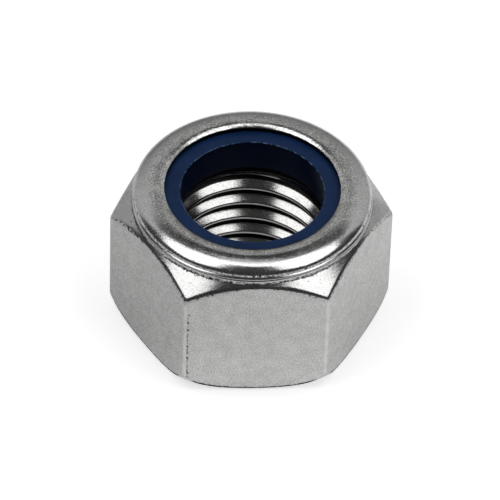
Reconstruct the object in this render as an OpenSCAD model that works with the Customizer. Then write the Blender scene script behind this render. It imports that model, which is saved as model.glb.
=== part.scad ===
// Nylon insert lock nut, M16 coarse thread, 24 mm across the flats.
// A hexagon bar is turned to one section: bearing face, corner cone, collar and
// the lip that is rolled over a nylon ring. The thread's hole is drawn at the
// minor diameter of the thread. All sizes are in millimetres.
// The origin is the centre of the bearing face, and Z runs up the thread's axis.

/* [Hexagon] */
// Width across the flats, the spanner size
across_flats = 24; // [23:0.1:27]
// Whole height, from the bearing face to the crest of the rolled lip
nut_height = 16; // [15:0.1:20]
// Rounding radius of the six upright corners
corner_round = 0.45; // [0.2:0.05:1.5]
// Diameter of the flat bearing face underneath
bearing_d = 22; // [19:0.1:23]
// Height to which the curve of the underside lifts the six lower corners
corner_lift = 2.1; // [0.8:0.1:2.6]
// Slope of the cone that cuts the six upper corners, in degrees below level
corner_slope = 42; // [20:1:60]

/* [Collar] */
// Height of the collar above the shoulder where it leaves the hexagon
collar_height = 1.95; // [1.5:0.05:4]
// Diameter of the turned ring at the collar's foot
foot_ring_d = 23.4; // [23:0.1:23.9]
// Height of the turned ring
foot_ring_h = 0.4; // [0.25:0.05:0.8]
// Rounding radius of the turned ring's upper edge
foot_ring_round = 0.05; // [0.05:0.05:0.2]
// Diameter of the bead above the turned ring
bead_d = 23.4; // [23:0.1:23.8]
// Thickness of the bead at its root
bead_t = 0.46; // [0.3:0.02:0.6]
// Height of the bevel on the bead's upper side
bead_bevel = 0.22; // [0.1:0.02:0.28]
// Diameter at the bottom of the grooves under and over the bead
groove_d = 22.9; // [22.4:0.1:22.9]
// Diameter of the rolled wall at its widest
collar_d = 23.2; // [21.6:0.1:23.6]
// Diameter of the circle where the rolled lip is highest
crest_d = 18.6; // [18.2:0.1:20.6]

/* [Lip] */
// Diameter of the lip's inner edge
lip_d = 17.1; // [15.5:0.1:18]
// Thickness of the lip over the insert
lip_t = 0.5; // [0.3:0.05:0.7]
// How far the lip falls from its crest to its inner edge
lip_fall = 0.24; // [0.02:0.02:0.3]
// Rounding radius of the lip's inner edge, above and below
lip_round = 0.12; // [0.05:0.01:0.18]

/* [Insert] */
// Outer diameter of the pocket that holds the insert
pocket_d = 20; // [18.6:0.1:21]
// Thickness of the nylon insert
insert_t = 3.4; // [2:0.1:4.5]
// Diameter of the insert's hole, smaller than the bolt so that it grips
insert_hole_d = 14; // [13.9:0.1:15.4]
// Clearance round and over the insert in its pocket
insert_clearance = 0.02; // [0.01:0.01:0.1]
// Rounding radius of the insert's edges
insert_round = 0.1; // [0.05:0.05:0.4]

/* [Thread] */
// Major diameter of the thread
thread_d = 16; // [15.6:0.1:17]
// Pitch of the thread
thread_pitch = 2; // [1:0.25:2.5]
// Diameter of the lead-in under the insert
lead_in_d = 16.2; // [15:0.1:18]
// Included angle of the lead-in, in degrees
lead_in_angle = 60; // [50:5:120]
// Diameter of the countersink in the bearing face
countersink_d = 16.8; // [15:0.1:18.5]
// Included angle of the countersink, in degrees
countersink_angle = 120; // [90:5:130]

/* [Hidden] */
$fn = 120;

// Hexagon
corner_r = across_flats / 2 / cos(30);
bearing_r = bearing_d / 2;
lift_run = corner_r - bearing_r;
lift_r = (pow(lift_run, 2) + pow(corner_lift, 2)) / (2 * corner_lift);
lift_sweep = 2 * atan(corner_lift / lift_run);

// Collar, from the shoulder up
shoulder_z = nut_height - collar_height;
foot_ring_r = foot_ring_d / 2;
cone_foot_z = shoulder_z - (corner_r - foot_ring_r) * tan(corner_slope);
foot_ring_top = shoulder_z + foot_ring_h;
bead_r = bead_d / 2;
groove_r = groove_d / 2;
bead_under_bevel = (bead_t - bead_bevel) / 2;
roll_foot_z = foot_ring_top + bead_t;
roll_height = nut_height - roll_foot_z;
collar_r = collar_d / 2;
crest_r = crest_d / 2;

// Lip, as an arc that is level at the crest and runs smoothly into its rounded inner edge
lip_r = lip_d / 2;
lip_run = crest_r - lip_r;
crown_r = (pow(lip_run, 2) + pow(lip_fall, 2)) / (2 * lip_fall);
crown_sweep = asin((lip_run - lip_round) / (crown_r - lip_round));
lip_edge_r = lip_r + lip_round;
lip_edge_z = nut_height - crown_r + (crown_r - lip_round) * cos(crown_sweep);
lip_under_z = nut_height - lip_fall - lip_t;

// Pocket and thread
pocket_r = pocket_d / 2;
pocket_floor_z = lip_under_z - insert_t - insert_clearance;
thread_depth = 5 / 8 * sqrt(3) / 2 * thread_pitch;
thread_hole_r = thread_d / 2 - thread_depth;
lead_in_r = lead_in_d / 2;
lead_in_depth = (lead_in_r - thread_hole_r) / tan(lead_in_angle / 2);
countersink_r = countersink_d / 2;
countersink_depth = (countersink_r - thread_hole_r) / tan(countersink_angle / 2);

// Insert
insert_r = pocket_r - insert_clearance;
insert_hole_r = insert_hole_d / 2;
insert_top_z = pocket_floor_z + insert_t;

// Points of an arc about centre c, from angle a0 to a1; first = 1 leaves out the point that
// it shares with the curve before it
function arc(c, r, a0, a1, steps, first = 0) =
    [for (i = [first:steps]) let (a = a0 + (a1 - a0) * i / steps) c + r * [cos(a), sin(a)]];

// Quarter of an ellipse, from its widest point at the side to its highest point
function quarter_roll(c, half_width, half_height, steps) =
    [for (i = [0:steps]) let (a = 90 * i / steps) c + [half_width * cos(a), half_height * sin(a)]];

// Hexagon with rounded corners, two of them on the X axis
function rounded_hexagon(flats, round) =
    [for (k = [0:5]) each arc((flats / 2 - round) / cos(30) * [cos(60 * k), sin(60 * k)],
                              round, 60 * k - 30, 60 * k + 30, 6)];

// Rectangle with rounded corners, from its lower left to its upper right corner
function rounded_rectangle(low, high, round) = concat(
    arc([high.x - round, low.y + round], round, -90, 0, 4),
    arc([high.x - round, high.y - round], round, 0, 90, 4),
    arc([low.x + round, high.y - round], round, 90, 180, 4),
    arc([low.x + round, low.y + round], round, 180, 270, 4)
);

// Half section of the steel body's outside, from the bearing face to the lip
outside = concat(
    [[countersink_r, 0]],
    arc([bearing_r, lift_r], lift_r, -90, lift_sweep - 90, 12),
    [[corner_r, cone_foot_z], [foot_ring_r, shoulder_z]],
    arc([foot_ring_r - foot_ring_round, foot_ring_top - foot_ring_round], foot_ring_round, 0, 90, 4),
    [
        [groove_r, foot_ring_top],
        [bead_r, foot_ring_top + bead_under_bevel],
        [bead_r, roll_foot_z - bead_bevel],
        [groove_r, roll_foot_z],
    ],
    quarter_roll([crest_r, roll_foot_z], collar_r - crest_r, roll_height, 14)
);

// Half section of its inside, from the lip down to the countersink
inside = concat(
    arc([crest_r, nut_height - crown_r], crown_r, 90, 90 + crown_sweep, 5, 1),
    arc([lip_edge_r, lip_edge_z], lip_round, 90 + crown_sweep, 180, 3, 1),
    arc([lip_edge_r, lip_under_z + lip_round], lip_round, 180, 270, 3),
    [
        [pocket_r, lip_under_z],
        [pocket_r, pocket_floor_z],
        [lead_in_r, pocket_floor_z],
        [thread_hole_r, pocket_floor_z - lead_in_depth],
        [thread_hole_r, countersink_depth],
    ]
);

// Half section of the insert
insert_section = rounded_rectangle(
    [insert_hole_r, pocket_floor_z], [insert_r, insert_top_z], insert_round
);

// Steel body: hexagon bar turned to its section, with the collar rolled over the pocket
module nut_body() {
    color("silver")
        intersection() {
            linear_extrude(nut_height + 1)
                polygon(rounded_hexagon(across_flats, corner_round));
            rotate_extrude()
                polygon(concat(outside, inside));
        }
}

// Nylon ring that sits on the pocket's floor, under the lip, with its four edges rounded
module nylon_insert() {
    color("midnightblue")
        rotate_extrude()
            polygon(insert_section);
}

nut_body();
nylon_insert();
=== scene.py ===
"""Looks of the nylon insert lock nut: a turned steel body with its real thread, and the nylon ring.

Both pieces are meshes made here from the part's named sizes. Each stands for the CAD node of its name.
Sizes are in millimetres until a mesh is made, in the CAD model's frame. In materials and in the studio
they are in metres.
"""

import math

import bpy
import numpy as np
from mathutils import Matrix, Vector


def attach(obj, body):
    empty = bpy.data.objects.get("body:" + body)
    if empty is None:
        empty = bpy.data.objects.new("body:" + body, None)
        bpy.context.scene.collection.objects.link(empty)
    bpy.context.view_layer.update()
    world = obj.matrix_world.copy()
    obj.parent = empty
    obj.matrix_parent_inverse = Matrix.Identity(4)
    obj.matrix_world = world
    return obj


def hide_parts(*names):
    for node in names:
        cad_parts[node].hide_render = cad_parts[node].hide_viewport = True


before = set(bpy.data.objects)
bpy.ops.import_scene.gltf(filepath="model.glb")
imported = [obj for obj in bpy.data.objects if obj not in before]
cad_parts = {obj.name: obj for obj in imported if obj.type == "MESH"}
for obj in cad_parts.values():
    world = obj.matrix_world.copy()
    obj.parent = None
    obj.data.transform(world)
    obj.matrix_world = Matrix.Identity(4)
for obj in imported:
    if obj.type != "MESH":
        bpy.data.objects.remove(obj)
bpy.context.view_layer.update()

MM = 0.001

# Hexagon
ACROSS_FLATS = 24.0
NUT_HEIGHT = 16.0
CORNER_ROUND = 0.45
BEARING_R = 11.0
CORNER_LIFT = 2.1
CORNER_SLOPE = math.radians(42)
CORNER_R = ACROSS_FLATS / 2 / math.cos(math.radians(30))
LIFT_RUN = CORNER_R - BEARING_R
LIFT_R = (LIFT_RUN**2 + CORNER_LIFT**2) / (2 * CORNER_LIFT)

# Collar, from the shoulder up
SHOULDER_Z = 14.05
FOOT_RING_R = 11.7
FOOT_RING_TOP = 14.45
FOOT_RING_ROUND = 0.05
BEAD_R = 11.7
BEAD_T = 0.46
BEAD_BEVEL = 0.22
GROOVE_R = 11.45
BEAD_UNDER_BEVEL = (BEAD_T - BEAD_BEVEL) / 2
ROLL_FOOT_Z = FOOT_RING_TOP + BEAD_T
COLLAR_R = 11.6
CREST_R = 9.3

# Lip
LIP_R = 8.55
LIP_T = 0.5
LIP_FALL = 0.24
LIP_ROUND = 0.12
LIP_UNEVEN = 0.018
CROWN_R = ((CREST_R - LIP_R) ** 2 + LIP_FALL**2) / (2 * LIP_FALL)
CROWN_SWEEP = math.asin((CREST_R - LIP_R - LIP_ROUND) / (CROWN_R - LIP_ROUND))
LIP_EDGE_R = LIP_R + LIP_ROUND
LIP_EDGE_Z = NUT_HEIGHT - CROWN_R + (CROWN_R - LIP_ROUND) * math.cos(CROWN_SWEEP)
LIP_UNDER_Z = NUT_HEIGHT - LIP_FALL - LIP_T

# Pocket, thread and countersink
POCKET_R = 10.0
INSERT_T = 3.4
INSERT_CLEARANCE = 0.02
POCKET_FLOOR_Z = LIP_UNDER_Z - INSERT_T - INSERT_CLEARANCE
THREAD_R = 8.0
THREAD_PITCH = 2.0
THREAD_DEPTH = 5 / 8 * math.sqrt(3) / 2 * THREAD_PITCH
THREAD_HOLE_R = THREAD_R - THREAD_DEPTH
LEAD_IN_R = 8.1
LEAD_IN_SLOPE = math.tan(math.radians(30))
COUNTERSINK_R = 8.4
COUNTERSINK_SLOPE = math.tan(math.radians(60))

# Thread: its flat crest and root, their softening, and the height of a crest at one angle in degrees
THREAD_CREST = 0.13 * THREAD_PITCH
THREAD_ROOT = 0.08 * THREAD_PITCH
SOFT_CREST = 0.12
SOFT_ROOT = 0.07
CREST_Z = 11.0
CREST_ANGLE = 86.3
CONE_BLEND = 0.05
THREAD_END = 0.02

# Insert
INSERT_R = POCKET_R - INSERT_CLEARANCE
INSERT_HOLE_R = 7.0
INSERT_ROUND = 0.1
INSERT_COLUMNS = 240

# Columns of the steel mesh, on each corner and each flat, and where a flat's first one stands
CORNER_COLUMNS = 7
FLAT_COLUMNS = 38
FLAT_START = math.radians(0.35)

# Softened edges of the flats, and the distance of the ring of points that keeps a surface flat
LOW_SOFT = 0.16
TOP_SOFT_MOST = 0.42
TOP_SOFT_SHARE = 0.45
SUPPORT = 0.12

# Rings of the bearing face, steps of the curve that lifts the corners, and shares for evenly spaced rings
BEARING_MIDDLE_R = 9.7
BEARING_MARGIN = 0.1
LIFT_STEPS = 9
EVEN_SHARES = (0.2, 0.4, 0.6, 0.8)

# Points of the lower groove as (outwards, upwards) from its foot, and the ends of the bead's soft bends
GROOVE_POINTS = ((0.12, 0), (0.03, 0.01))
BEAD_BEND_IN = 0.07
BEAD_BEND_DOWN = 0.03
BEVEL_BEND_SHARE = 0.2

# Waves of the lip in a turn, fewest and most, and how many of them are added up
LIP_WAVES = (12, 60)
LIP_WAVE_COUNT = 16

# Radii of the rings on the insert's upper face, inwards, and on its lower face, outwards
INSERT_UPPER_RINGS = (9.4, 9.0, 8.6, 8.2, 7.8, 7.5)
INSERT_LOWER_RINGS = (7.9, 8.6, 9.3)

# Materials of the body by zone, in the order of its material slots
FLAT, CONE, TURNED, BORE = range(4)

# Attributes of the body's mesh: bright wear that also paints highlights, painted shade in grooves, black
# painted shade in gaps and creases, and the rolled lip's rough skin
MARKS = ("edge", "dirt", "gap", "rolled")

# How strong the black painted shade is: along the softened edges, up the cone as (share of the way, shade),
# and up the foot ring as (rise, shade). A painted shade of 0.3 shows as a few specks, and one of 0.8 is
# nearly solid
LOW_EDGE_PAINTED_SHADE = (0.8, 0.8, 0.7, 0.68, 0.66)
ABOVE_LOW_EDGE_PAINTED_SHADE = 0.3
UNDER_TOP_EDGE_PAINTED_SHADE = 0.2
TOP_EDGE_PAINTED_SHADE = (0.34, 0.44, 0.46, 0.38, 0.2)
CONE_PAINTED_SHADE = ((0.08, 0), (0.35, 0), (0.65, 0.06), (0.9, 0.3), (1, 0.6))
FOOT_RING_PAINTED_SHADE = ((0.06, 0.56), (0.16, 0.5), (0.26, 0.5), (0.31, 0.36))
GROOVE_PAINTED_SHADE = 0.5
ROLL_PAINTED_SHADE = 0.5
ROLL_PAINTED_SHADE_STEP = 0.02
LIP_PAINTED_SHADE_STEP = 0.5
LIP_PAINTED_SHADE_START = 1.7

# Painted groove shade on the bead's bevel as (share of the way, shade), and how black its full shade is
# there
BEVEL_GROOVE_SHADE = ((0.5, 0), (0.85, 0.2), (0.95, 1))
BEVEL_PAINTED_SHADE = 0.45

# Wear and painted highlight of the corners, over a share of their rounding, and of the lip's edge, with the
# roughness of its skin
CORNER_WEAR_AND_HIGHLIGHT = 0.85
CORNER_WEAR_AND_HIGHLIGHT_SHARE = 0.75
LIP_WEAR_AND_HIGHLIGHT = 0.7
LIP_ROLLED = 0.5

# Near a corner the lower edge keeps only a share of its black painted shade
QUIET_ANGLE = math.radians(5)
QUIET_SHARE = 0.4

# Painted shade for dents beside one corner and a patch of painted shade on the cone, at angles in degrees
DENTS_ANGLE = 240
DENTS_FROM = -0.3
DENTS_TO = 0.5
PAINTED_DENT_DARKNESS = 0.48
SHADE_PATCH_ANGLE = 198
SHADE_PATCH_FADE = 6
SHADE_PATCH_STRENGTH = 1.6
EDGE_SHADE_PATCH = 0.12
CONE_SHADE_PATCH = 0.3

# Steps of the rolled wall, and the one where its skin starts to turn rough, with the steps that this takes
ROLL_STEPS = 30
ROUGH_FROM = 21
ROUGH_OVER = 7

# Painted shade of the thread: how far under the pocket's floor it reaches, how deep in the thread it starts
# and how high over the bearing face, with the distance over which each one fades
SHADE_BELOW_FLOOR = 1.15
SHADE_DEPTH = 0.56
SHADE_FADE = 0.25
SHADE_LOW_Z = 1.2
SHADE_LOW_FADE = 0.4
DEEP_SHADE = 0.9

SHARP_ANGLE = math.radians(38)
RANDOM_SEED = 16
rng = np.random.RandomState(RANDOM_SEED)


def arc(centre, radius, first, last, steps):
    """Points of an arc about centre, from one angle to another in degrees."""
    angles = np.radians(np.linspace(first, last, steps + 1))
    return [(centre[0] + radius * math.cos(a), centre[1] + radius * math.sin(a)) for a in angles]


def between(start, end, share):
    """The point that lies a share of the way from start to end."""
    return tuple(a + share * (b - a) for a, b in zip(start, end))


def rounded(before, corner, after, steps):
    """Points of a rounded corner that starts at before, bends at corner and ends at after."""
    shares = np.linspace(0, 1, steps + 1)
    return [between(between(before, corner, t), between(corner, after, t), t) for t in shares]


def ring_faces(low, high, columns):
    """Quads between the ring of points that starts at index low and the one that starts at high."""
    following = [(j + 1) % columns for j in range(columns)]
    return [(low + j, low + k, high + k, high + j) for j, k in enumerate(following)]


def column_angles():
    """Angles of the mesh's columns: close together round each rounded corner, even along each flat."""
    sixth = math.radians(60)
    angles = []
    for k in range(6):
        angles.extend(sixth * k + np.linspace(-CORNER_HALF, CORNER_HALF, CORNER_COLUMNS))
        start, end = CORNER_HALF + FLAT_START, sixth - CORNER_HALF - FLAT_START
        angles.extend(sixth * k + np.linspace(start, end, FLAT_COLUMNS))
    return np.array(angles)


def hexagon_radius(off):
    """Radius of the rounded hexagon at angles that are off from its nearest corner."""
    flat = ACROSS_FLATS / 2 / np.cos(math.radians(30) - off)
    side = CORNER_CENTRE * np.sin(off)
    reach = np.sqrt(np.maximum(CORNER_ROUND**2 - side**2, 0))
    on_arc = off < CORNER_HALF + 1e-9
    return np.where(on_arc, np.minimum(CORNER_CENTRE * np.cos(off) + reach, flat), flat)


def ripple(angles, low, high, count):
    """Smooth random wave round the nut, from -1 to 1, with low to high waves a turn."""
    wave = np.zeros_like(angles)
    for _ in range(count):
        height = rng.uniform(0.4, 1)
        waves = rng.randint(low, high + 1)
        wave += height * np.cos(waves * angles + rng.uniform(0, 2 * math.pi))
    return wave / np.abs(wave).max()


# Values of each column: its angle, its distance from the nearest corner, the hexagon's radius there, its
# wear and painted highlight, and the share of the lower edge's black painted shade that it keeps
CORNER_CENTRE = (ACROSS_FLATS / 2 - CORNER_ROUND) / math.cos(math.radians(30))
CORNER_HALF = math.atan2(CORNER_ROUND / 2, CORNER_CENTRE + CORNER_ROUND * math.cos(math.radians(30)))
ANGLES = column_angles()
COLUMNS = len(ANGLES)
FROM_CORNER = np.abs((ANGLES + math.radians(30)) % math.radians(60) - math.radians(30))
HEX_R = hexagon_radius(FROM_CORNER)
ON_CORNER = np.where(FROM_CORNER < CORNER_HALF * CORNER_WEAR_AND_HIGHLIGHT_SHARE, CORNER_WEAR_AND_HIGHLIGHT, 0.0)
OFF_CORNER = np.clip(FROM_CORNER / QUIET_ANGLE, QUIET_SHARE, 1)

# Heights of the flats' lower and upper edges in each column, and how far the upper one is softened
LOW_TURN = np.arcsin((HEX_R - BEARING_R) / LIFT_R)
LOW_Z = LIFT_R * (1 - np.cos(LOW_TURN))
TOP_Z = SHOULDER_Z - (HEX_R - FOOT_RING_R) * math.tan(CORNER_SLOPE)
CONE_RUN = (HEX_R - FOOT_RING_R) / math.cos(CORNER_SLOPE)
TOP_SOFT = np.minimum(TOP_SOFT_MOST, TOP_SOFT_SHARE * CONE_RUN)

# Painted shade for a row of small dents along one side of a corner; the mesh itself is smooth there
BESIDE = np.degrees(ANGLES) - DENTS_ANGLE - math.degrees(CORNER_HALF)
PAINTED_DENTS = np.where((BESIDE > DENTS_FROM) & (BESIDE < DENTS_TO), PAINTED_DENT_DARKNESS, 0.0)

# A patch of painted shade on the cone, between a corner and the middle of the flat beside it
SHADE_PATCH = np.clip(SHADE_PATCH_STRENGTH - np.abs(np.degrees(ANGLES) - SHADE_PATCH_ANGLE) / SHADE_PATCH_FADE, 0, 1)


class Rings:
    """Rings of the body, from the countersink outwards, up and over the lip to the lead-in."""

    def __init__(self):
        self.points = []
        self.zones = []
        self.marks = {key: [] for key in MARKS}

    def add(self, points, zone, **marks):
        """Add a ring for each (radius, height), with the zone of the strip above it.

        A radius, a height and a mark are each a number, or an array with a value a column.
        """
        even = np.zeros(COLUMNS)
        for r, z in points:
            self.points.append(np.stack([r * np.cos(ANGLES), r * np.sin(ANGLES), even + z], 1))
            self.zones.append(zone)
            for key in MARKS:
                self.marks[key].append(even + marks.get(key, 0.0))


def add_underside(rings):
    """Bearing face, the curve that lifts the corners, and the softened edge under each flat."""

    def curve(turn):
        return BEARING_R + LIFT_R * np.sin(turn), LIFT_R * (1 - np.cos(turn))

    rings.add([(COUNTERSINK_R, 0)], FLAT, edge=1)
    face_radii = (COUNTERSINK_R + BEARING_MARGIN, BEARING_MIDDLE_R, BEARING_R - BEARING_MARGIN)
    rings.add([(r, 0) for r in face_radii], FLAT)
    last = LOW_TURN - LOW_SOFT / LIFT_R
    for share in np.linspace(0, 1, LIFT_STEPS + 1):
        rings.add([curve(share * last)], FLAT, edge=float(share == 1))
    bend = rounded(curve(last), (HEX_R, LOW_Z), (HEX_R, LOW_Z + LOW_SOFT), len(LOW_EDGE_PAINTED_SHADE))
    # The softened lower edge is painted black as shade, less so near the corners
    for point, gap in zip(bend[1:], LOW_EDGE_PAINTED_SHADE):
        rings.add([point], FLAT, gap=gap * OFF_CORNER)


def add_flats(rings):
    """The six flats, with worn corners that carry a painted highlight between them, and painted shade along
    their edges and beside one corner.
    """
    low, high = LOW_Z + LOW_SOFT, TOP_Z - TOP_SOFT
    low_painted_shade = np.maximum(PAINTED_DENTS, ABOVE_LOW_EDGE_PAINTED_SHADE * OFF_CORNER)
    rings.add([(HEX_R, low + SUPPORT)], FLAT, edge=ON_CORNER, gap=low_painted_shade)
    for share in EVEN_SHARES:
        rings.add([(HEX_R, low + share * (high - low))], FLAT, edge=ON_CORNER, gap=PAINTED_DENTS)
    rings.add([(HEX_R, high - SUPPORT)], FLAT, edge=ON_CORNER)
    rings.add([(HEX_R, high)], CONE, gap=UNDER_TOP_EDGE_PAINTED_SHADE)


def add_cone(rings):
    """Softened edge over each flat, and the cone over the corners."""
    start = (HEX_R, TOP_Z - TOP_SOFT)
    up = (HEX_R - TOP_SOFT * math.cos(CORNER_SLOPE), TOP_Z + TOP_SOFT * math.sin(CORNER_SLOPE))
    bend = rounded(start, (HEX_R, TOP_Z), up, len(TOP_EDGE_PAINTED_SHADE))
    # Painted shade along the softened edge over each flat and up the cone, with the patch of painted shade
    for point, gap in zip(bend[1:], TOP_EDGE_PAINTED_SHADE):
        rings.add([point], CONE, gap=gap + EDGE_SHADE_PATCH * SHADE_PATCH)
    for share, gap in CONE_PAINTED_SHADE:
        point = between(up, (FOOT_RING_R, SHOULDER_Z), share)
        rings.add([point], CONE if share < 1 else TURNED, gap=gap + CONE_SHADE_PATCH * SHADE_PATCH)


def add_foot_ring_and_bead(rings):
    """The turned ring at the collar's foot, and the bevelled bead between its two grooves."""
    # Painted shade up the foot ring, in specks
    for rise, gap in FOOT_RING_PAINTED_SHADE:
        rings.add([(FOOT_RING_R, SHOULDER_Z + rise)], TURNED, gap=gap)
    centre = (FOOT_RING_R - FOOT_RING_ROUND, FOOT_RING_TOP - FOOT_RING_ROUND)
    rings.add(arc(centre, FOOT_RING_ROUND, 0, 90, 5), TURNED)
    groove = [(GROOVE_R + out, FOOT_RING_TOP + up) for out, up in GROOVE_POINTS]
    # The groove is painted dark as shade
    rings.add(groove, TURNED, dirt=1, gap=GROOVE_PAINTED_SHADE)

    side_low = (BEAD_R, FOOT_RING_TOP + BEAD_UNDER_BEVEL)
    side_high = (BEAD_R, ROLL_FOOT_Z - BEAD_BEVEL)
    middle = between(side_low, side_high, 0.5)
    bevel_end = (GROOVE_R, ROLL_FOOT_Z)
    under = (BEAD_R - BEAD_BEND_IN, side_low[1] - BEAD_BEND_DOWN)
    rings.add(rounded(under, side_low, middle, 3), TURNED)
    on_bevel = between(side_high, bevel_end, BEVEL_BEND_SHARE)
    rings.add(rounded(middle, side_high, on_bevel, 4)[1:], TURNED)
    # Painted shade on the bevel, darkest where it meets the wall
    for share, dirt in BEVEL_GROOVE_SHADE:
        rings.add([between(side_high, bevel_end, share)], TURNED, dirt=dirt, gap=BEVEL_PAINTED_SHADE * dirt)


def add_rolled_wall(rings):
    """The wall over the bead, a quarter of an ellipse up to its crest, where its skin is rough."""
    for i, turn in enumerate(np.radians(np.linspace(0, 90, ROLL_STEPS + 1))):
        r = CREST_R + (COLLAR_R - CREST_R) * math.cos(turn)
        z = ROLL_FOOT_Z + (NUT_HEIGHT - ROLL_FOOT_Z) * math.sin(turn)
        # Painted shade that fades up the wall from its foot, and painted groove shade on its first ring
        gap = max(0, ROLL_PAINTED_SHADE - ROLL_PAINTED_SHADE_STEP * i)
        rolled = min(1, max(0, (i - ROUGH_FROM) / ROUGH_OVER))
        rings.add([(r, z)], TURNED, dirt=float(i == 0), gap=gap, rolled=rolled)


def add_lip(rings):
    """The lip's crown and its rounded edge, a little uneven from the rolling, with wear and painted
    highlight on the edge and black painted shade under it.
    """
    uneven = LIP_UNEVEN * ripple(ANGLES, *LIP_WAVES, LIP_WAVE_COUNT)
    sweep = math.degrees(CROWN_SWEEP)
    crown = arc((CREST_R, NUT_HEIGHT - CROWN_R), CROWN_R, 90, 90 + sweep, 8)[1:]
    for i, point in enumerate(crown):
        rings.add([point], TURNED, rolled=1 - (1 - LIP_ROLLED) * (i + 1) / len(crown))
    above = arc((LIP_EDGE_R, LIP_EDGE_Z), LIP_ROUND, 90 + sweep, 180, 6)[1:]
    below = arc((LIP_EDGE_R, LIP_UNDER_Z + LIP_ROUND), LIP_ROUND, 180, 270, 4)
    for i, (r, z) in enumerate(above + below):
        shift = uneven * min(1, (LIP_EDGE_R - r) / LIP_ROUND)
        under = i - len(above) + 1
        # Wear and painted highlight on the edge, and black painted shade under it, in the crevice over the
        # insert
        edge = LIP_WEAR_AND_HIGHLIGHT if -4 < under < 0 else 0.0
        gap = min(1, max(0, LIP_PAINTED_SHADE_STEP * (under + LIP_PAINTED_SHADE_START)))
        rings.add([(r + shift, z)], TURNED, rolled=LIP_ROLLED, edge=edge, gap=gap)


def add_pocket(rings):
    """The pocket round the insert, painted black as shade where it shows, and the rim of the lead-in in its
    floor.
    """
    corner = 0.05
    rings.add([(POCKET_R - corner, LIP_UNDER_Z), (POCKET_R, LIP_UNDER_Z - corner)], BORE, gap=1)
    rings.add([(POCKET_R, POCKET_FLOOR_Z + corner), (POCKET_R - corner, POCKET_FLOOR_Z)], BORE, gap=1)
    rings.add([(LEAD_IN_R + corner, POCKET_FLOOR_Z), (LEAD_IN_R, POCKET_FLOOR_Z)], BORE, gap=1)


def thread_section():
    """One pitch of the thread from a crest's middle down to the next: (fall, radius) of each point."""
    flank = (THREAD_PITCH - THREAD_CREST - THREAD_ROOT) / 2
    slope = Vector((flank, THREAD_DEPTH)).normalized()
    level, out, back = (1, 0), tuple(slope), (slope[0], -slope[1])

    def bend(fall, radius, before, after, soft):
        start = (fall - soft * before[0], radius - soft * before[1])
        end = (fall + soft * after[0], radius + soft * after[1])
        return rounded(start, (fall, radius), end, 4)

    root_start = THREAD_CREST / 2 + flank
    root_end = root_start + THREAD_ROOT
    first = bend(THREAD_CREST / 2, THREAD_HOLE_R, level, out, SOFT_CREST)
    second = bend(root_start, THREAD_R, out, level, SOFT_ROOT)
    third = bend(root_end, THREAD_R, level, back, SOFT_ROOT)
    fourth = bend(THREAD_PITCH - THREAD_CREST / 2, THREAD_HOLE_R, back, level, SOFT_CREST)
    outwards = [between(first[-1], second[0], share) for share in EVEN_SHARES]
    inwards = [between(third[-1], fourth[0], share) for share in EVEN_SHARES]
    return first + outwards + second + third + inwards + fourth


def thread_surface():
    """Radius and height of the thread at each column and row, and the number of rows in a pitch.

    The rows fall from the lead-in to the countersink, and climb one pitch in a turn.
    """
    section = thread_section()
    start = CREST_Z - THREAD_PITCH * math.radians(CREST_ANGLE - math.degrees(ANGLES[0])) / (2 * math.pi)
    while start < POCKET_FLOOR_Z:
        start += THREAD_PITCH
    pitches = math.ceil((start + THREAD_PITCH) / THREAD_PITCH) + 1
    fall = np.array([f + THREAD_PITCH * k for k in range(pitches) for f, _ in section])
    radius = np.array([r for _, r in section] * pitches)
    climb = THREAD_PITCH * (ANGLES - ANGLES[0]) / (2 * math.pi)
    z = start + climb[:, None] - fall[None, :]

    # The lead-in and the countersink widen the hole at its ends, and meet the thread in a soft bend
    lead_in = LEAD_IN_R - (POCKET_FLOOR_Z - z) * LEAD_IN_SLOPE
    cone = np.maximum(lead_in, COUNTERSINK_R - z * COUNTERSINK_SLOPE)
    r = 0.5 * (radius[None, :] + cone + np.sqrt((radius[None, :] - cone) ** 2 + CONE_BLEND**2))
    return r, z, len(section)


def thread_painted_shade(r, z):
    """How black the painted shade of the thread is: in its grooves, and close under the insert."""
    deep = np.clip((r - THREAD_HOLE_R - SHADE_DEPTH) / SHADE_FADE, 0, DEEP_SHADE)
    deep = deep * np.clip((z - SHADE_LOW_Z) / SHADE_LOW_FADE, 0, 1)
    return np.maximum(deep, np.clip((z - POCKET_FLOOR_Z + SHADE_BELOW_FLOOR) / SHADE_FADE, 0, 1))


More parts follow.
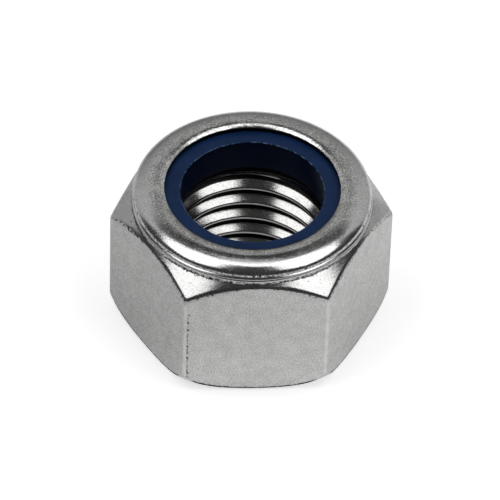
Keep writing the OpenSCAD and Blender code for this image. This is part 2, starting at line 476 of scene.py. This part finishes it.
def body_mesh():
    """The steel body as one closed mesh: the rings outside, and a thread that follows its helix inside."""
    rings = Rings()
    for add_part in (
        add_underside, add_flats, add_cone, add_foot_ring_and_bead, add_rolled_wall, add_lip, add_pocket
    ):
        add_part(rings)
    faces, zones = [], []
    for i, zone in enumerate(rings.zones[:-1]):
        faces += ring_faces(i * COLUMNS, (i + 1) * COLUMNS, COLUMNS)
        zones += [zone] * COLUMNS

    # Points of the thread past its ends are those of the rings that it meets there
    r, z, per_pitch = thread_surface()
    top_ring = (len(rings.points) - 1) * COLUMNS
    inside = (z > THREAD_END) & (z < POCKET_FLOOR_Z - THREAD_END)
    index = np.full(z.shape, -1)
    index[inside] = top_ring + COLUMNS + np.arange(inside.sum())
    for j in range(COLUMNS):
        index[j, z[j] >= POCKET_FLOOR_Z - THREAD_END] = top_ring + j
        index[j, z[j] <= THREAD_END] = j
    angle = np.broadcast_to(ANGLES[:, None], z.shape)[inside]
    r, z = r[inside], z[inside]
    points = rings.points + [np.stack([r * np.cos(angle), r * np.sin(angle), z], 1)]
    for key in MARKS:
        rings.marks[key].append(thread_painted_shade(r, z) if key == "gap" else np.zeros(len(r)))

    # The last column meets the first one a pitch further down
    shifted = np.concatenate([np.full(per_pitch, top_ring), index[0, :-per_pitch]])
    for here, there in zip(index, list(index[1:]) + [shifted]):
        for quad in zip(here, there, there[1:], here[1:]):
            face = tuple(int(v) for i, v in enumerate(quad) if v != quad[i - 1])
            if len(face) >= 3:
                faces.append(face)
                zones.append(BORE)
    return np.concatenate(points), faces, zones, {key: np.concatenate(rings.marks[key]) for key in MARKS}


def insert_mesh():
    """The nylon ring: its section turned about Z, with a painted highlight marked on its hole's upper edge.
    """
    low, high = POCKET_FLOOR_Z, POCKET_FLOOR_Z + INSERT_T
    hole, outer, edge = INSERT_HOLE_R, INSERT_R, INSERT_ROUND
    wall = (hole, low + edge), (hole, high - edge)
    section = arc((outer - edge, low + edge), edge, -90, 0, 6)
    section += arc((outer - edge, high - edge), edge, 0, 90, 6)
    section += [(r, high) for r in INSERT_UPPER_RINGS]
    section += arc((hole + edge, high - edge), edge, 90, 180, 8)
    section += [between(*wall, share) for share in reversed(EVEN_SHARES)]
    section += arc((hole + edge, low + edge), edge, 180, 270, 8)
    section += [(r, low) for r in INSERT_LOWER_RINGS]
    inner = [r <= hole + 0.3 * edge for r, z in section]
    rim_highlight = [r < hole + 0.8 * edge and high - edge < z < high - 0.05 * edge for r, z in section]

    angles = np.linspace(0, 2 * math.pi, INSERT_COLUMNS, endpoint=False)
    even = np.ones(INSERT_COLUMNS)
    points = [np.stack([r * np.cos(angles), r * np.sin(angles), z * even], 1) for r, z in section]
    faces, zones = [], []
    for i in range(len(section)):
        up = (i + 1) % len(section)
        faces += ring_faces(i * INSERT_COLUMNS, up * INSERT_COLUMNS, INSERT_COLUMNS)
        zones += [int(inner[i] and inner[up])] * INSERT_COLUMNS
    return np.concatenate(points), faces, zones, {"edge": np.repeat(np.array(rim_highlight, float), INSERT_COLUMNS)}


def make_piece(name, built, materials, node):
    """A mesh object in metres that rides on the root body and stands for a CAD node."""
    points, faces, zones, attributes = built
    mesh = bpy.data.meshes.new(name)
    mesh.from_pydata((points * MM).tolist(), [], faces)
    for material in materials:
        mesh.materials.append(material)
    mesh.polygons.foreach_set("material_index", np.array(zones, dtype=np.int32))
    mesh.polygons.foreach_set("use_smooth", np.ones(len(faces), dtype=bool))
    for label, values in attributes.items():
        layer = mesh.attributes.new(label, "FLOAT", "POINT")
        layer.data.foreach_set("value", values.astype(np.float32))
    mesh.set_sharp_from_angle(angle=SHARP_ANGLE)
    mesh.update()
    piece = bpy.data.objects.new(name, mesh)
    bpy.context.scene.collection.objects.link(piece)
    even = piece.modifiers.new("even shading", "WEIGHTED_NORMAL")
    even.keep_sharp = True
    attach(piece, "root")
    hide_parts(node)
    return piece


# Materials. A noise's scale is in waves a metre, and its span holds the values where what it draws starts
# and is full
GRAIN_SCALE = 6500
CLOUD_SCALE = 900
BROAD_SCALE = 160
CLOUD_SHARE = 0.2
TONE_SPAN = (0.38, 0.62)
LIGHTER_SHARE = 0.7
SPECK_SCALE = 2600
SPECK_SPAN = (0.66, 0.72)
SPECK_SHARE = 0.7
SPECK_COLOUR = (0.09, 0.085, 0.08)
# Bright wear, which also paints the highlight lines on the corners and the lip's edge
WEAR_AND_HIGHLIGHT_SPAN = (0.3, 0.6)
WEAR_AND_HIGHLIGHT_LEAST = 0.45
WEAR_AND_HIGHLIGHT_SHARE = 0.55
WEAR_AND_HIGHLIGHT_COLOUR = (0.86, 0.86, 0.85)
DASH_SPAN = (0.38, 0.58)
DASH_LEAST = 0.25
# Painted shade in the grooves, in broken dashes: its share and colour
GROOVE_SHADE_SHARE = 0.85
GROOVE_SHADE_COLOUR = (0.04, 0.037, 0.035)
RAGGED_SCALE = 4200
# Black painted shade in gaps and creases: the values where it starts and is full, and its colour
PAINTED_SHADE_SPAN = (0.42, 0.62)
PAINTED_SHADE_COLOUR = (0.014, 0.0135, 0.013)

# Roughness of the steel: its factors where the tone is darkest and lightest, and what clouds and the
# painted shade add
TONE_ROUGHNESS = (0.87, 1.17)
BROAD_ROUGHNESS = 0.12
SHADED_ROUGHNESS = 0.3

# Tool marks, in waves a metre across the radius and up the height, and the lengths of marks and dashes
MARKS_OUT = 9000
MARKS_UP = 7000
MARK_SCALE = 2.2
DASH_SCALE = 20.0
DASH_WIDTH = 0.25

# Skin of the rolled lip, and the span of its mark over which it turns rough
ROLLED_COLOUR = (0.525, 0.525, 0.515)
ROLLED_SPECKLE = 0.72
ROLLED_ROUGHNESS = 0.36
ROLLED_SPAN = (0.8, 1.0)
ROLLED_GRAIN_DEPTH = 18e-6

# Nylon
NYLON_SPAN = (0.3, 0.7)
NYLON_ROUGHNESS = (0.34, 0.5)
# Painted highlight, broken, along the upper edge of the insert's hole
RIM_HIGHLIGHT_SCALE = 1800
RIM_HIGHLIGHT_SPAN = (0.46, 0.6)
RIM_HIGHLIGHT_COLOUR = (0.09, 0.16, 0.28)
NYLON_GRAIN_SCALE = 4200
NYLON_CLOUD_SCALE = 500
NYLON_GRAIN_DEPTH = 4e-6
NYLON_IOR = 1.53


class Shader:
    """A node material that is put together one node at a time."""

    def __init__(self, name):
        self.material = bpy.data.materials.new(name)
        self.material.use_nodes = True
        self.tree = self.material.node_tree
        self.tree.nodes.clear()

    def node(self, kind, inputs=None, **settings):
        """A new node. An input is a value, or an output socket that is linked to it."""
        made = self.tree.nodes.new(kind)
        for key, value in settings.items():
            setattr(made, key, value)
        for key, value in (inputs or {}).items():
            if isinstance(value, bpy.types.NodeSocket):
                self.tree.links.new(value, made.inputs[key])
            else:
                made.inputs[key].default_value = value
        return made

    def place(self):
        """The place on the object, in metres."""
        return self.node("ShaderNodeTexCoord").outputs["Object"]

    def parts(self, vector):
        """The X, Y and Z outputs of a vector."""
        return self.node("ShaderNodeSeparateXYZ", {"Vector": vector}).outputs

    def vector_math(self, operation, inputs, output="Vector"):
        return self.node("ShaderNodeVectorMath", inputs, operation=operation).outputs[output]

    def math(self, operation, a, b=0.0, clamp=False):
        return self.node("ShaderNodeMath", {0: a, 1: b}, operation=operation, use_clamp=clamp).outputs[0]

    def noise(self, place, scale, detail=3.0, rough=0.55):
        inputs = {"Vector": place, "Scale": scale, "Detail": detail, "Roughness": rough}
        return self.node("ShaderNodeTexNoise", inputs).outputs["Fac"]

    def ring_noise(self, way, along, across):
        """Noise in rings round the axis, with its scale along a ring and its place across the rings."""
        way = self.vector_math("SCALE", {0: way, "Scale": along})
        inputs = {"Vector": way, "W": across, "Scale": 1.0, "Detail": 3.0, "Roughness": 0.6}
        return self.node("ShaderNodeTexNoise", inputs, noise_dimensions="4D").outputs["Fac"]

    def span(self, value, low, high, to_low=0.0, to_high=1.0):
        """A value spread from low and high to other ends, and held between them."""
        inputs = {"Value": value, "From Min": low, "From Max": high, "To Min": to_low, "To Max": to_high}
        return self.node("ShaderNodeMapRange", inputs, clamp=True).outputs["Result"]

    def mix(self, share, a, b):
        """A colour between a and b. The Mix node's colour sockets have these numbers."""
        share_in, a_in, b_in, colour_out = 0, 6, 7, 2
        inputs = {share_in: share, a_in: a, b_in: b}
        return self.node("ShaderNodeMix", inputs, data_type="RGBA").outputs[colour_out]

    def bump(self, height, depth, below=None):
        inputs = {"Height": height, "Strength": 1.0, "Distance": depth}
        if below is not None:
            inputs["Normal"] = below
        return self.node("ShaderNodeBump", inputs).outputs["Normal"]

    def attribute(self, name):
        return self.node("ShaderNodeAttribute", attribute_name=name).outputs["Fac"]

    def glow(self, strength):
        return self.node("ShaderNodeEmission", {"Color": (1, 1, 1, 1), "Strength": strength}).outputs[0]

    def finish(self, shader):
        """Link the shader to the material's output."""
        self.node("ShaderNodeOutputMaterial", {"Surface": shader})
        return self.material


def shade(colour, factor=1.0):
    """A colour made darker or lighter, with its alpha."""
    return tuple(min(1.0, factor * c) for c in colour) + (1,)


def turned_patterns(s, place):
    """Tool marks and dashes, which are long round the axis and narrow across it."""
    parts = s.parts(place)
    flat = s.node("ShaderNodeCombineXYZ", {"X": parts["X"], "Y": parts["Y"]}).outputs[0]
    radius = s.vector_math("LENGTH", {0: flat}, "Value")
    way = s.vector_math("NORMALIZE", {0: flat})
    out = s.math("MULTIPLY", radius, MARKS_OUT)
    across = s.math("ADD", out, s.math("MULTIPLY", parts["Z"], MARKS_UP))
    dashes = s.ring_noise(way, DASH_SCALE, s.math("MULTIPLY", across, DASH_WIDTH))
    return s.ring_noise(way, MARK_SCALE, across), dashes


def steel(name, colour, roughness, grain_depth, turned_depth, speckle, specks, ragged=1.15):
    """Stainless steel with fine grain, tool marks, dark specks, wear with painted highlight and painted
    shade.

    speckle is how far the grain is lighter and darker than the colour, specks is how strong the dark specks
    are, and ragged is how rough the edge of the black painted shade is.
    """
    s = Shader(name)
    place = s.place()
    fine = s.noise(place, GRAIN_SCALE, rough=0.6)
    cloud = s.noise(place, CLOUD_SCALE)
    broad = s.noise(place, BROAD_SCALE, detail=2)
    rolled = s.attribute("rolled")
    marks, dashes = turned_patterns(s, place)

    # Where each kind of wear and painted light lies
    dots = s.noise(place, SPECK_SCALE, detail=2, rough=0.7)
    spots = s.math("MULTIPLY", s.span(dots, *SPECK_SPAN), specks)
    wear_and_highlight = s.math("MULTIPLY", s.attribute("edge"), s.span(cloud, *WEAR_AND_HIGHLIGHT_SPAN, WEAR_AND_HIGHLIGHT_LEAST, 1.0))
    dirt = s.math("MULTIPLY", s.attribute("dirt"), s.span(dashes, *DASH_SPAN, DASH_LEAST, 1.0))
    uneven = s.math("SUBTRACT", s.noise(place, RAGGED_SCALE, rough=0.65), 0.5)
    gap = s.math("ADD", s.attribute("gap"), s.math("MULTIPLY", uneven, ragged))
    gap = s.span(gap, *PAINTED_SHADE_SPAN)

    # Colour
    tone = s.math("MULTIPLY", fine, 1 - CLOUD_SHARE)
    tone = s.span(s.math("ADD", tone, s.math("MULTIPLY", cloud, CLOUD_SHARE)), *TONE_SPAN)
    base = s.mix(tone, shade(colour, 1 - speckle), shade(colour, 1 + LIGHTER_SHARE * speckle))
    skin = s.mix(tone, shade(ROLLED_COLOUR, 1 - ROLLED_SPECKLE), shade(ROLLED_COLOUR, 1 + ROLLED_SPECKLE))
    base = s.mix(rolled, base, skin)
    # Bright wear that also paints highlights
    base = s.mix(s.math("MULTIPLY", wear_and_highlight, WEAR_AND_HIGHLIGHT_SHARE), base, shade(WEAR_AND_HIGHLIGHT_COLOUR))
    base = s.mix(s.math("MULTIPLY", spots, SPECK_SHARE), base, shade(SPECK_COLOUR))
    # Painted shade in the grooves
    base = s.mix(s.math("MULTIPLY", dirt, GROOVE_SHADE_SHARE), base, shade(GROOVE_SHADE_COLOUR))
    # Black painted shade in gaps and creases
    base = s.mix(gap, base, shade(PAINTED_SHADE_COLOUR))

    # Roughness
    dark_factor, light_factor = TONE_ROUGHNESS
    rough = s.span(tone, 0.0, 1.0, roughness * dark_factor, roughness * light_factor)
    rough = s.math("ADD", rough, s.span(rolled, *ROLLED_SPAN, 0.0, ROLLED_ROUGHNESS - roughness))
    clouded = s.math("MULTIPLY", s.math("SUBTRACT", broad, 0.5), BROAD_ROUGHNESS)
    rough = s.math("ADD", rough, clouded)
    dull = s.math("MULTIPLY", s.math("MAXIMUM", dirt, gap), SHADED_ROUGHNESS)
    rough = s.math("ADD", rough, dull, clamp=True)

    # Relief, coarser on the rolled skin
    coarser = s.math("MULTIPLY", rolled, ROLLED_GRAIN_DEPTH / grain_depth - 1)
    coarser = s.math("ADD", 1.0, coarser)
    normal = s.bump(s.math("MULTIPLY", fine, coarser), grain_depth)
    normal = s.bump(s.math("MULTIPLY", cloud, coarser), grain_depth * 2.0, normal)
    normal = s.bump(marks, turned_depth, normal)
    inputs = {"Base Color": base, "Metallic": 1.0, "Roughness": rough, "Normal": normal}
    return s.finish(s.node("ShaderNodeBsdfPrincipled", inputs).outputs[0])


def nylon(name, low, high, gloss):
    """Dark blue nylon with a soft mottle and a broken painted highlight along the hole's upper edge."""
    s = Shader(name)
    place = s.place()
    fine = s.noise(place, NYLON_GRAIN_SCALE)
    cloud = s.noise(place, NYLON_CLOUD_SCALE, detail=2)
    base = s.mix(s.span(cloud, *NYLON_SPAN), shade(low), shade(high))
    broken = s.span(s.noise(place, RIM_HIGHLIGHT_SCALE, rough=0.7), *RIM_HIGHLIGHT_SPAN)
    base = s.mix(s.math("MULTIPLY", s.attribute("edge"), broken), base, shade(RIM_HIGHLIGHT_COLOUR))
    inputs = {
        "Base Color": base,
        "Roughness": s.span(fine, *NYLON_SPAN, *NYLON_ROUGHNESS),
        "IOR": NYLON_IOR,
        "Specular IOR Level": gloss,
        "Normal": s.bump(fine, NYLON_GRAIN_DEPTH),
    }
    return s.finish(s.node("ShaderNodeBsdfPrincipled", inputs).outputs[0])


# The body's materials follow the order of its zones. Depths are in metres
body_materials = [
    steel(
        "steel_flats", (0.60, 0.60, 0.595), roughness=0.40,
        grain_depth=10e-6, turned_depth=0.0, speckle=0.3, specks=0.3,
    ),
    steel(
        "steel_cone", (0.51, 0.51, 0.505), roughness=0.17,
        grain_depth=4e-6, turned_depth=4e-6, speckle=0.18, specks=0.6,
    ),
    steel(
        "steel_turned", (0.60, 0.60, 0.595), roughness=0.17,
        grain_depth=3e-6, turned_depth=4e-6, speckle=0.2, specks=0.4,
    ),
    # The thread's steel is darker than the rest, which paints shade into the bore
    steel(
        "steel_thread", (0.47, 0.47, 0.46), roughness=0.13,
        grain_depth=3e-6, turned_depth=9e-6, speckle=0.2, specks=0.15, ragged=0.35,
    ),
]
# The hole's wall takes a darker copy of the blue nylon, a painted shade
nylon_materials = [
    nylon("nylon_blue", (0.0028, 0.0165, 0.060), (0.0046, 0.0235, 0.082), gloss=0.15),
    nylon("nylon_hole_shaded", (0.0008, 0.0045, 0.019), (0.0011, 0.006, 0.025), gloss=0.04),
]
make_piece("nut_body_turned", body_mesh(), body_materials, "nut_body")
make_piece("nylon_insert_ring", insert_mesh(), nylon_materials, "nylon_insert")


# Camera, as fitted to the photo's outline. Angles are in radians, and pixels are those of the photo
CAMERA_ELEVATION = 0.77113
CAMERA_AZIMUTH = 0.06727
CAMERA_ROLL = 0.03359
CAMERA_FOCAL_PX = 5076.2
CAMERA_PX_PER_MM = 10.197
CAMERA_AIM_Z = 7.5
CAMERA_SENSOR_MM = 36.0
CAMERA_NEAREST = 0.01
CAMERA_FARTHEST = 10.0
PHOTO_SIZE = 500
PHOTO_CENTRE = (250.56, 248.65)

# Floor, and the share of its paper's light that reflections show: by side, and close in front of the nut
FLOOR_RADIUS = 2.5
FLOOR_STEPS = 96
FLOOR_COLOUR = (0.80, 0.80, 0.80)
FLOOR_DARKEST = 0.98
FLOOR_CLOUD_SCALE = 3.0
FLOOR_SHOWN = 0.55
MIRRORED_LEFT = 0.12
MIRRORED_RIGHT = 0.52
MIRRORED_SPREAD = 0.02
MIRRORED_NEAR = 0.35
NEAR_FRONT = (-0.020, -0.014)
NEAR_SIDES = (0.006, 0.012)

# Lamp cards over the nut, as corners in card heights: (sideways, towards the camera)
CARD_HEIGHT = 0.55
SIDE_CARD = [
    (0.05, -0.12), (0.24, -0.28), (0.58, -0.35), (0.82, -0.21), (1.2, -0.04),
    (1.32, 0.22), (1.34, 0.9), (0.92, 0.86), (0.46, 0.68),
]
SIDE_BRIGHTNESS = 2.1
TOP_CARD = [(-0.2, -0.55), (0.2, -0.55), (0.12, 0.04), (-0.12, 0.04)]
TOP_BRIGHTNESS = 2.4
TOP_FADE = (0.0, 0.38 * CARD_HEIGHT)

# Wall behind the nut: dim at its foot in the middle, brighter at the sides and higher up
WALL_RADIUS = 0.9
WALL_HEIGHT = 1.07
WALL_HALF_ANGLE = math.radians(68)
WALL_STEPS = 48
WALL_BRIGHTNESS = 0.58
WALL_FOOT_BRIGHTNESS = 0.2
WALL_SIDE_BRIGHTNESS = 0.5
WALL_SIDES = (0.3, 0.6)
WALL_RISE = (0.12, 0.85)
ROOM_BRIGHTNESS = 0.05


def paper_material():
    """Pale paper that camera and glossy rays see partly lit by itself, and that keeps the shadow.

    Glossy rays see it brighter to the right, and close in front of the nut.
    """
    s = Shader("floor_paper")
    path = s.node("ShaderNodeLightPath").outputs
    parts = s.parts(s.place())
    beside = s.span(s.math("ABSOLUTE", parts["X"]), *NEAR_SIDES, 1, 0)
    near = s.math("MULTIPLY", s.span(parts["Y"], *NEAR_FRONT), beside)
    share = s.span(parts["X"], -MIRRORED_SPREAD, MIRRORED_SPREAD, MIRRORED_LEFT, MIRRORED_RIGHT)
    share = s.math("ADD", share, s.math("MULTIPLY", near, MIRRORED_NEAR))
    faint = s.noise(s.place(), FLOOR_CLOUD_SCALE, detail=2)
    tint = s.mix(faint, shade(FLOOR_COLOUR, FLOOR_DARKEST), shade(FLOOR_COLOUR))
    body = s.node("ShaderNodeBsdfDiffuse", {"Color": tint}).outputs[0]
    mirrored = s.math("ADD", path["Is Glossy Ray"], path["Is Transmission Ray"])
    seen = s.math("ADD", path["Is Camera Ray"], s.math("MULTIPLY", mirrored, share))
    glow = s.glow(s.math("MULTIPLY", seen, FLOOR_SHOWN))
    return s.finish(s.node("ShaderNodeAddShader", {0: body, 1: glow}).outputs[0])


def stage_object(name, points, faces, material):
    """A mesh of the studio, linked to the scene."""
    mesh = bpy.data.meshes.new(name)
    mesh.from_pydata(points, [], faces)
    mesh.materials.append(material)
    made = bpy.data.objects.new(name, mesh)
    bpy.context.scene.collection.objects.link(made)
    return made


def make_floor():
    """A round pale floor."""
    turns = [2 * math.pi * i / FLOOR_STEPS for i in range(FLOOR_STEPS)]
    ring = [(FLOOR_RADIUS * math.cos(a), FLOOR_RADIUS * math.sin(a), 0) for a in turns]
    floor = stage_object("floor", ring, [tuple(range(FLOOR_STEPS))], paper_material())


def glow_material(name, brightness, fade=None):
    """A surface that shines evenly, or fades out towards the back between two places."""
    s = Shader(name)
    strength = brightness
    if fade is not None:
        strength = s.span(s.parts(s.place())["Y"], *fade, brightness, 0.0)
    return s.finish(s.glow(strength))


def card(name, outline, material):
    """A level lamp card over the nut, turned to face as the camera does."""
    corners = [(x * CARD_HEIGHT, -y * CARD_HEIGHT, CARD_HEIGHT) for x, y in outline]
    made = stage_object(name, corners, [tuple(range(len(corners)))], material)
    made.rotation_euler = (0, 0, -CAMERA_AZIMUTH)
    made.visible_camera = False


def make_wall():
    """A curved pale wall behind the nut, up to the elevation where the nut's reflections turn dark."""
    points = []
    for i in range(WALL_STEPS + 1):
        turn = math.pi / 2 - CAMERA_AZIMUTH + WALL_HALF_ANGLE * (2 * i / WALL_STEPS - 1)
        x, y = WALL_RADIUS * math.cos(turn), WALL_RADIUS * math.sin(turn)
        points += [(x, y, 0), (x, y, WALL_HEIGHT)]
    faces = [(2 * i, 2 * i + 2, 2 * i + 3, 2 * i + 1) for i in range(WALL_STEPS)]
    s = Shader("wall_paper")
    path = s.node("ShaderNodeLightPath").outputs
    parts = s.parts(s.place())
    aside = s.math("ABSOLUTE", parts["X"])
    foot = s.span(aside, *WALL_SIDES, WALL_FOOT_BRIGHTNESS, WALL_SIDE_BRIGHTNESS)
    dim = s.span(parts["Z"], *WALL_RISE, foot, WALL_BRIGHTNESS)
    strength = s.math("MAXIMUM", dim, path["Is Camera Ray"])
    wall = stage_object("wall", points, faces, s.finish(s.glow(strength)))


def make_world():
    """A dim room that camera rays see as white paper."""
    world = bpy.data.worlds.new("studio")
    world.use_nodes = True
    tree = world.node_tree
    tree.nodes.clear()
    path = tree.nodes.new("ShaderNodeLightPath")
    mixed = tree.nodes.new("ShaderNodeMixShader")
    out = tree.nodes.new("ShaderNodeOutputWorld")
    tree.links.new(path.outputs["Is Camera Ray"], mixed.inputs[0])
    for socket, brightness in ((1, ROOM_BRIGHTNESS), (2, 1.0)):
        room = tree.nodes.new("ShaderNodeBackground")
        room.inputs["Color"].default_value = (1, 1, 1, 1)
        room.inputs["Strength"].default_value = brightness
        tree.links.new(room.outputs[0], mixed.inputs[socket])
    tree.links.new(mixed.outputs[0], out.inputs["Surface"])
    bpy.context.scene.world = world


def make_camera():
    """The camera at the photo's viewing angle, moved sideways until the nut sits as in the photo."""
    ce, se = math.cos(CAMERA_ELEVATION), math.sin(CAMERA_ELEVATION)
    ca, sa = math.cos(CAMERA_AZIMUTH), math.sin(CAMERA_AZIMUTH)
    forward = Vector((ce * sa, ce * ca, -se))
    level = Vector((ca, -sa, 0))
    above = level.cross(forward)
    right = math.cos(CAMERA_ROLL) * level + math.sin(CAMERA_ROLL) * above
    up = -math.sin(CAMERA_ROLL) * level + math.cos(CAMERA_ROLL) * above
    aside = (PHOTO_SIZE / 2 - PHOTO_CENTRE[0]) / CAMERA_PX_PER_MM
    raised = (PHOTO_CENTRE[1] - PHOTO_SIZE / 2) / CAMERA_PX_PER_MM
    aim = Vector((0, 0, CAMERA_AIM_Z)) + right * aside + up * raised
    away = CAMERA_FOCAL_PX / CAMERA_PX_PER_MM
    data = bpy.data.cameras.new("camera")
    data.sensor_width = CAMERA_SENSOR_MM
    data.lens = CAMERA_FOCAL_PX / PHOTO_SIZE * data.sensor_width
    data.clip_start = CAMERA_NEAREST
    data.clip_end = CAMERA_FARTHEST
    camera = bpy.data.objects.new("camera", data)
    bpy.context.scene.collection.objects.link(camera)
    turn = Matrix((right, up, -forward)).transposed().to_4x4()
    camera.matrix_world = Matrix.Translation((aim - away * forward) * MM) @ turn
    bpy.context.scene.camera = camera


make_floor()
make_world()
make_wall()
side_glow = glow_material("side_card_glow", SIDE_BRIGHTNESS)
card("right_card", SIDE_CARD, side_glow)
card("left_card", [(-x, y) for x, y in SIDE_CARD], side_glow)
card("top_card", TOP_CARD, glow_material("top_card_glow", TOP_BRIGHTNESS, TOP_FADE))
make_camera()
bpy.context.scene.view_settings.view_transform = "Standard"
